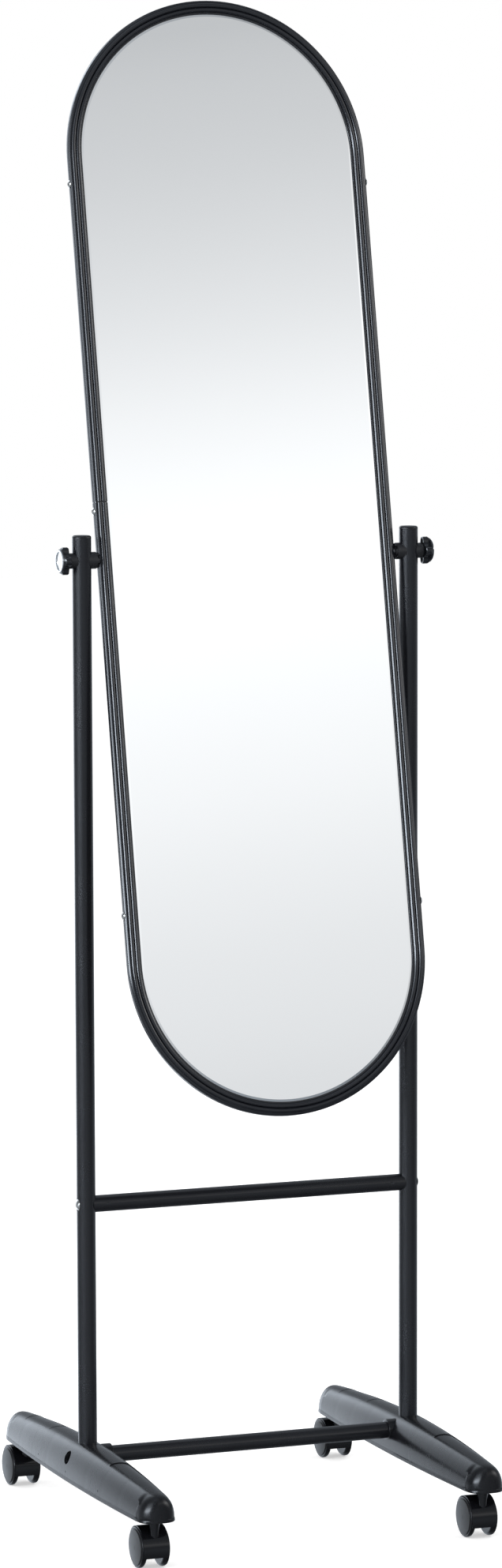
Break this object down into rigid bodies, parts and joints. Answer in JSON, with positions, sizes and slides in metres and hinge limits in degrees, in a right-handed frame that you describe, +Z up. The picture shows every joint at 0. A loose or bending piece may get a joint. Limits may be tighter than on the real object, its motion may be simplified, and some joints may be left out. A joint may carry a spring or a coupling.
{
  "type": "rolling floor mirror",
  "caption": "Full-length mirror with round ends that tilts between two black tubular uprights on clamp knobs, on arched feet with twin-wheel swivel castors.",
  "frame": {"origin": "on the floor, midway between the two uprights, on the plane that holds both of their axes", "axes": "+X to the mirror's right as a viewer in front sees it, +Y to the back, +Z up"},
  "size_m": [0.4014, 0.4446, 1.5286],
  "materials": {
    "foot_plastic": "smooth moulded black plastic with a soft sheen",
    "satin_black": "satin black powder coat",
    "cap_plastic": "moulded black plastic",
    "knob_plastic": "glossy moulded black plastic",
    "zinc_steel": "zinc-plated steel",
    "nickel": "bright nickel plate",
    "frame_black": "gloss black lacquer",
    "mirror": "silvered float glass",
    "board": "thin dark backing board",
    "castor_gloss": "high gloss black plastic",
    "wheel_black": "black nylon",
    "wheel_face": "satin dark grey plastic"
  },
  "bodies": {
    "stand": {"left_foot": "foot_plastic", "right_foot": "foot_plastic", "left_upright": "satin_black", "right_upright": "satin_black", "left_cap": "cap_plastic", "right_cap": "cap_plastic", "upper_crossbar": "satin_black", "lower_crossbar": "satin_black", "crossbar_inserts": "zinc_steel", "crossbar_bolts": "nickel", "castor_stems": "zinc_steel", "left_inner_spacer": "knob_plastic", "right_inner_spacer": "knob_plastic", "left_outer_washer": "knob_plastic", "right_outer_washer": "knob_plastic"},
    "mirror": {"mirror_frame": "frame_black", "mirror_glass": "mirror", "backing_board": "board", "left_joint_bar": "zinc_steel", "right_pivot_block": "zinc_steel", "retaining_blocks": "zinc_steel", "frame_screws": "nickel"},
    "left_knob": {"left_knob": "knob_plastic", "left_knob_bolt": "zinc_steel", "left_knob_face": "nickel"},
    "right_knob": {"right_knob": "knob_plastic", "right_knob_bolt": "zinc_steel", "right_knob_face": "nickel"},
    "front_left_castor": {"front_left_hood": "castor_gloss", "front_left_axle": "zinc_steel"},
    "front_left_outer_wheel": {"front_left_outer_wheel": "wheel_black", "front_left_outer_disc": "wheel_face"},
    "front_left_inner_wheel": {"front_left_inner_wheel": "wheel_black", "front_left_inner_disc": "wheel_face"},
    "front_right_castor": {"front_right_hood": "castor_gloss", "front_right_axle": "zinc_steel"},
    "front_right_outer_wheel": {"front_right_outer_wheel": "wheel_black", "front_right_outer_disc": "wheel_face"},
    "front_right_inner_wheel": {"front_right_inner_wheel": "wheel_black", "front_right_inner_disc": "wheel_face"},
    "rear_left_castor": {"rear_left_hood": "castor_gloss", "rear_left_axle": "zinc_steel"},
    "rear_left_outer_wheel": {"rear_left_outer_wheel": "wheel_black", "rear_left_outer_disc": "wheel_face"},
    "rear_left_inner_wheel": {"rear_left_inner_wheel": "wheel_black", "rear_left_inner_disc": "wheel_face"},
    "rear_right_castor": {"rear_right_hood": "castor_gloss", "rear_right_axle": "zinc_steel"},
    "rear_right_outer_wheel": {"rear_right_outer_wheel": "wheel_black", "rear_right_outer_disc": "wheel_face"},
    "rear_right_inner_wheel": {"rear_right_inner_wheel": "wheel_black", "rear_right_inner_disc": "wheel_face"}
  },
  "joints": [
    {"name": "mirror_tilt", "type": "hinge", "parent": "stand", "child": "mirror", "pos_m": [0, 0, 0.978], "axis": [1, 0, 0], "continuous": true},
    {"name": "left_knob_turn", "type": "hinge", "parent": "stand", "child": "left_knob", "pos_m": [-0.192, 0, 0.978], "axis": [-1, 0, 0], "continuous": true},
    {"name": "right_knob_turn", "type": "hinge", "parent": "stand", "child": "right_knob", "pos_m": [0.192, 0, 0.978], "axis": [1, 0, 0], "continuous": true},
    {"name": "front_left_swivel", "type": "hinge", "parent": "stand", "child": "front_left_castor", "pos_m": [-0.175, -0.1944, 0.045], "axis": [0, 0, 1], "continuous": true},
    {"name": "front_left_outer_roll", "type": "hinge", "parent": "front_left_castor", "child": "front_left_outer_wheel", "pos_m": [-0.185, -0.18, 0.0205], "axis": [1, 0, 0], "continuous": true},
    {"name": "front_left_inner_roll", "type": "hinge", "parent": "front_left_castor", "child": "front_left_inner_wheel", "pos_m": [-0.165, -0.18, 0.0205], "axis": [1, 0, 0], "continuous": true},
    {"name": "front_right_swivel", "type": "hinge", "parent": "stand", "child": "front_right_castor", "pos_m": [0.175, -0.1944, 0.045], "axis": [0, 0, 1], "continuous": true},
    {"name": "front_right_outer_roll", "type": "hinge", "parent": "front_right_castor", "child": "front_right_outer_wheel", "pos_m": [0.185, -0.18, 0.0205], "axis": [1, 0, 0], "continuous": true},
    {"name": "front_right_inner_roll", "type": "hinge", "parent": "front_right_castor", "child": "front_right_inner_wheel", "pos_m": [0.165, -0.18, 0.0205], "axis": [1, 0, 0], "continuous": true},
    {"name": "rear_left_swivel", "type": "hinge", "parent": "stand", "child": "rear_left_castor", "pos_m": [-0.175, 0.1944, 0.045], "axis": [0, 0, 1], "continuous": true},
    {"name": "rear_left_outer_roll", "type": "hinge", "parent": "rear_left_castor", "child": "rear_left_outer_wheel", "pos_m": [-0.185, 0.2088, 0.0205], "axis": [1, 0, 0], "continuous": true},
    {"name": "rear_left_inner_roll", "type": "hinge", "parent": "rear_left_castor", "child": "rear_left_inner_wheel", "pos_m": [-0.165, 0.2088, 0.0205], "axis": [1, 0, 0], "continuous": true},
    {"name": "rear_right_swivel", "type": "hinge", "parent": "stand", "child": "rear_right_castor", "pos_m": [0.175, 0.1944, 0.045], "axis": [0, 0, 1], "continuous": true},
    {"name": "rear_right_outer_roll", "type": "hinge", "parent": "rear_right_castor", "child": "rear_right_outer_wheel", "pos_m": [0.185, 0.2088, 0.0205], "axis": [1, 0, 0], "continuous": true},
    {"name": "rear_right_inner_roll", "type": "hinge", "parent": "rear_right_castor", "child": "rear_right_inner_wheel", "pos_m": [0.165, 0.2088, 0.0205], "axis": [1, 0, 0], "continuous": true}
  ]
}
